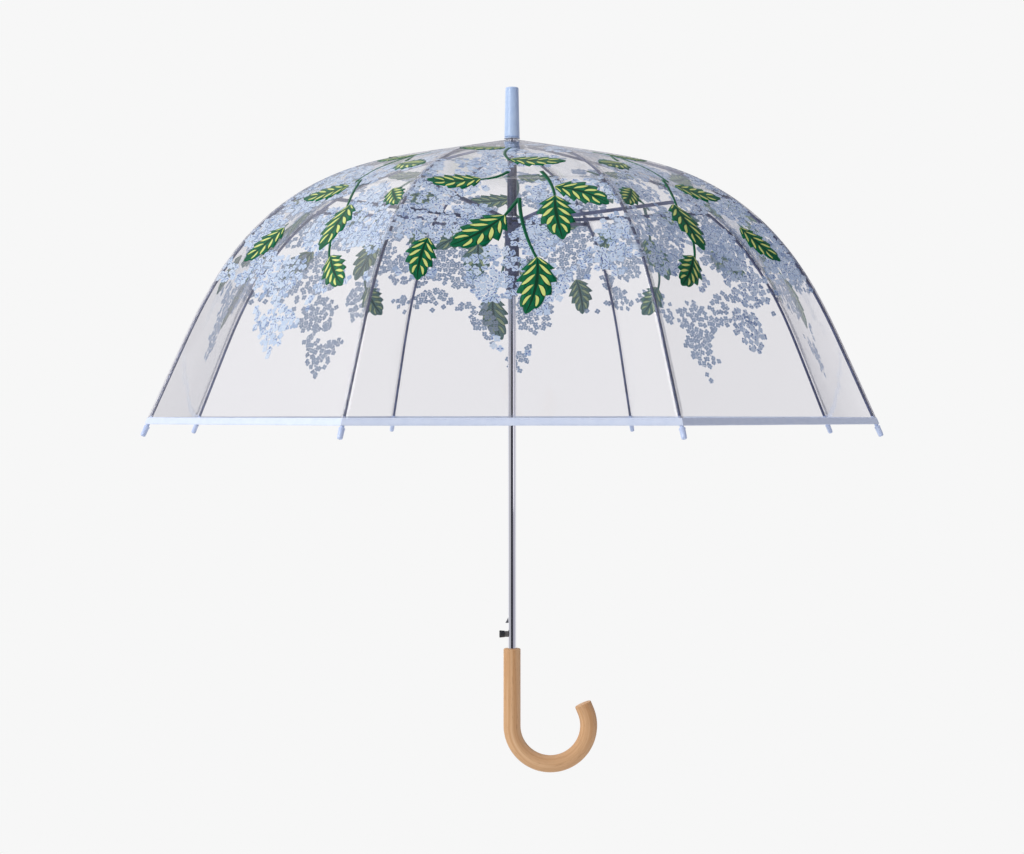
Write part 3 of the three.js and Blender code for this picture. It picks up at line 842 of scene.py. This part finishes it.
def rib_tip(number):
    """A moulded cap with a rounded end, a collar at its mouth and a narrow sleeve under the tape."""
    radius, slope = 3.4 * MM, float(slope_at((TIP_START + TIP_END) / 2))
    x, z = rib_line(TIP_START, RIB_DEPTH)
    length = TIP_END - TIP_START
    bore = [(0.5, 0.5), (-1.03, 0.5)]
    sleeve = [(-1.03, 0.58), (-1.0, 0.61), (0, 0.61)]
    cap = [(0, 0.9), (0.03, 1.0), (0.12, 1.0), (0.16, 0.9), (0.75, 0.88), (0.9, 0.84), (0.96, 0.74),
           (1.0, 0.5)]
    shape = [(length * along, radius * share) for along, share in bore + sleeve + cap]
    points, faces = swept(straight((float(x), float(z)), (math.cos(slope), -math.sin(slope))), shape, 24)
    made = piece(f"rib_tip_{number}_finished", points, faces, [tip_resin], rib_angle(number))
    return mount(made, f"lower_rib_{number}", "blue_resin", f"rib_tip_{number}")


# ---------------------------------------------------------------- shaft, spring and handle
def main_spring():
    """A closely wound coil of round wire. Each point's share along the coil is listed, and nothing uses
    it.
    """
    low, high = (corner.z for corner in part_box("main_spring"))
    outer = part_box("main_spring")[1].x
    wire = 0.32 * MM
    radius, turns, per_turn, sides = outer - wire, 96, 14, 6
    steps = turns * per_turn
    points, shares = [], []
    for step in range(steps + 1):
        share = step / steps
        angle = 2 * math.pi * step / per_turn
        height = high - wire - share * (high - low - 2 * wire)
        for side in range(sides):
            around = 2 * math.pi * side / sides
            reach = radius + wire * math.cos(around)
            points.append((reach * math.cos(angle), reach * math.sin(angle),
                           height + wire * math.sin(around)))
            shares.append(share)
    faces = faced_out(points, tube_faces(steps + 1, sides))
    made = piece("main_spring_coil", points, faces, [spring_steel], smooth_degrees=80)
    blend_by_share(made)
    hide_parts("main_spring")


def handle_line(along):
    """The handle's centre line: straight down, round the crook towards +X, then straight again."""
    if along <= HANDLE_STRAIGHT:
        return 0.0, -along, 0.0, -1.0
    angle = min((along - HANDLE_STRAIGHT) / CROOK_RADIUS, CROOK_SWEEP)
    beyond = along - HANDLE_STRAIGHT - CROOK_RADIUS * angle
    return (CROOK_RADIUS * (1 - math.cos(angle)) + beyond * math.sin(angle),
            -HANDLE_STRAIGHT - CROOK_RADIUS * math.sin(angle) - beyond * math.cos(angle),
            math.sin(angle), -math.cos(angle))


def handle():
    """Bent wood with a bore for the shaft and a small rounding at both ends."""
    length = HANDLE_STRAIGHT + CROOK_RADIUS * CROOK_SWEEP + CROOK_END
    bore, bore_end, sides = SHAFT_RADIUS + 0.3 * MM, -SHAFT_LOW.z, 48
    soft = 1.3 * MM
    rounding = [(soft * (1 - math.cos(t)), soft * math.sin(t)) for t in np.linspace(0, math.pi / 2, 5)]
    stops = [(bore_end, bore), (0.0, bore)]
    stops += [(along, HANDLE_RADIUS - soft + out) for along, out in rounding]
    stops += [(along, HANDLE_RADIUS) for along in np.linspace(4 * MM, length - 4 * MM, 110)]
    stops += [(length - along, HANDLE_RADIUS - soft + out) for along, out in reversed(rounding)]
    points, faces = swept(handle_line, stops, sides)
    grain = []
    for along, radius in stops:
        for side in range(sides):
            angle = 2 * math.pi * side / sides
            grain.append((along, radius * math.cos(angle), radius * math.sin(angle)))
    made = piece("handle_wood", points, faces, [beech])
    vector_attribute(made.data, "grain", grain)
    mount(made, "shaft_body", "beech", "handle")


def push_button():
    """A turned button: a flat oval stem that fits the shaft's window, and a black cap with a ribbed
    rim and a dished face."""
    low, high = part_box("push_button")
    z = (low.z + high.z) / 2
    radius, sides = high.y - 0.1 * MM, 32
    back = -9.0 * MM
    cap = back - low.x
    stem_long = high.x - back
    stem_tall, stem_wide = 3.55 * MM, 1.5 * MM
    stem_stations = [(0.0, 0.9 * stem_tall), (0.3 * MM, stem_tall), (stem_long, stem_tall)]
    rim = ((0, 0.88), (0.12, 0.94), (0.3, 0.9), (0.4, 0.97), (0.55, 0.93), (0.65, 1.0), (0.9, 1.0),
           (1.0, 0.9), (0.93, 0.6), (0.9, 0.1))
    cap_stations = [(stem_long + cap * along, radius * share) for along, share in rim]
    points, faces = swept(straight((high.x, z), (-1.0, 0.0)), stem_stations + cap_stations, sides)
    stem_points = len(stem_stations) * sides
    flat = stem_wide / stem_tall
    points = [(x, y * flat, height) if index < stem_points else (x, y, height)
              for index, (x, y, height) in enumerate(points)]
    made = piece("push_button_turned", points, faces, [black_resin, grey_resin], smooth_degrees=50)
    for face in made.data.polygons:
        face.material_index = int(face.center.x > back + 0.05 * MM)
    mount(made, "button_body", "black_resin", "push_button")


# ---------------------------------------------------------------- assembly
upper_wire, lower_wire = rib_wires()
for number in range(1, RIB_COUNT + 1):
    rib("upper", number, upper_wire)
    rib("lower", number, lower_wire)
    rib_tip(number)
    refined(f"stretcher_{number}", f"stretcher_body_{number}", "painted_steel", painted_steel, 0.25 * MM)

for number in range(1, RIB_COUNT + 1):
    upper = film_sheet("upper", number, FILM_START, ELBOW, 46, 41)
    lower = film_sheet("lower", number, ELBOW, CANOPY_EDGE - 0.3 * MM, 56, 41)
    tape = edge_tape(number)
    stitches = tape_stitches(number)
    upper_parts = [leaf_prints("upper", number, 0, ELBOW), seam("upper", number, 12 * MM, ELBOW)]
    lower_parts = [leaf_prints("lower", number, ELBOW, RIB_END),
                   seam("lower", number, ELBOW, CANOPY_EDGE - TAPE)]

refined("shaft", "shaft_body", "chrome_tube", chrome, 0.1 * MM)
refined("finial", "shaft_body", "blue_resin", blue_resin, 0.5 * MM)
refined("crown_washer", "shaft_body", "blue_resin", blue_resin, 0.3 * MM)
refined("crown_notch", "shaft_body", "dark_resin", dark_resin, 0.2 * MM)
refined("runner", "runner_body", "dark_resin", dark_resin, 0.25 * MM)
refined("runner_catch", "catch_body", "steel_wire", bright_wire, 0.1 * MM)
for node, body in (("crown_wire", "shaft_body"), ("stop_pin", "shaft_body"),
                   ("runner_wire", "runner_body")):
    refined(node, body, "steel_wire", bright_wire, 0.05 * MM)
main_spring()
handle()
push_button()


# ---------------------------------------------------------------- studio
def area_light(name, place, size, energy, aim=(0, 0, 0.3), shines=True):
    """A soft light. One that doesn't shine leaves no glare on glossy things."""
    light = bpy.data.lights.new(name, "AREA")
    light.shape = "RECTANGLE"
    light.size, light.size_y = size
    light.energy = energy
    lamp = bpy.data.objects.new(name, light)
    lamp.location = place
    lamp.visible_glossy = shines
    lamp.rotation_mode = "QUATERNION"
    lamp.rotation_quaternion = (Vector(aim) - Vector(place)).to_track_quat("-Z", "Y")
    bpy.context.scene.collection.objects.link(lamp)


PALE = srgb(247, 247, 247)

# The room's light near the horizon, which is what the chrome shows: degrees from the front,
# positive to the right, and the colour there.
ROOM = (
    (-180, (0.6, 0.6, 0.63)), (-150, (0.9, 0.9, 0.93)), (-128, (1.25, 1.25, 1.28)),
    (-92, (0.7, 0.7, 0.73)), (-62, (0.5, 0.5, 0.53)), (-38, (0.62, 0.62, 0.66)),
    (-30, (0.02, 0.02, 0.03)), (13, (0.02, 0.02, 0.03)), (19, (0.49, 0.48, 0.54)),
    (56, (0.47, 0.46, 0.52)), (84, (0.52, 0.51, 0.57)), (112, (0.95, 0.95, 0.98)),
    (135, (0.95, 0.95, 0.98)), (155, (0.4, 0.4, 0.44)), (180, (0.6, 0.6, 0.63)),
)
HORIZON_BAND = (0.13, 0.2)  # how high it reaches, where it gives way to the walls
ROOM_LEFT = (1.12, 1.12, 1.14, 1)
ROOM_RIGHT = (0.2, 0.19, 0.23, 1)


def soft_room(g):
    """A soft room, lighter on the left, with a dark flag in front of it near the horizon."""
    way = g.node("ShaderNodeSeparateXYZ", Vector=g.node("ShaderNodeTexCoord", outputs="Generated"))
    parts = way.node.outputs
    turn = g.math("ARCTAN2", parts[0], g.math("MULTIPLY", parts[1], -1.0))
    ramp = g.tree.nodes.new("ShaderNodeValToRGB")
    stops = ramp.color_ramp.elements
    for index, (degrees, colour) in enumerate(ROOM):
        place = (degrees + 180) / 360
        stop = stops[index] if index < 2 else stops.new(place)
        stop.position = place
        stop.color = (*colour, 1)
    g.feed(ramp.inputs[0], g.range(turn, -math.pi, math.pi))
    walls = g.mix(g.range(parts[0], -0.6, 0.6), ROOM_LEFT, ROOM_RIGHT)
    return g.mix(g.range(g.math("ABSOLUTE", parts[2]), *HORIZON_BAND), ramp.outputs[0], walls)


def studio():
    world = bpy.data.worlds.new("studio")
    world.use_nodes = True
    world.node_tree.nodes.clear()
    g = Nodes(world.node_tree)
    ray = g.node("ShaderNodeLightPath").node.outputs
    background = world.node_tree.nodes.new("ShaderNodeBackground")
    g.feed(background.inputs["Color"], g.mix(ray["Is Camera Ray"], soft_room(g), PALE))
    output = world.node_tree.nodes.new("ShaderNodeOutputWorld")
    g.feed(output.inputs["Surface"], background.outputs[0])
    bpy.context.scene.world = world
    bpy.context.scene.view_settings.view_transform = "Standard"

    bpy.ops.mesh.primitive_circle_add(vertices=96, radius=FLOOR_RADIUS, fill_type="NGON",
                                      location=(0, 0, FLOOR_Z))
    floor = bpy.context.object
    floor.name = "floor"
    material, g, output = new_material("floor")
    away = g.vector("LENGTH", g.node("ShaderNodeTexCoord", outputs="Object"), length=True)
    near = g.node("ShaderNodeBsdfDiffuse", Color=(0.86, 0.86, 0.86, 1))
    far = g.node("ShaderNodeEmission", Color=PALE)
    g.feed(output.inputs["Surface"], g.mix_shader(g.range(away, *FLOOR_FADE), near, far))
    floor.data.materials.append(material)

    area_light("key", (-2.0, -1.9, 1.9), (1.3, 1.6), 36)
    area_light("fill", (2.3, -1.6, 0.9), (0.9, 1.8), 3)
    area_light("back", (-0.6, 2.4, 1.6), (1.6, 1.2), 14, shines=False)


def camera():
    data = bpy.data.cameras.new("camera")
    data.sensor_width = 36
    data.lens = LENS_MM
    data.shift_y = HORIZON_SHIFT
    made = bpy.data.objects.new("camera", data)
    made.location = (0, -CAMERA_DISTANCE, CAMERA_HEIGHT)
    made.rotation_euler = (math.pi / 2, 0, 0)
    bpy.context.scene.collection.objects.link(made)
    bpy.context.scene.camera = made


studio()
camera()
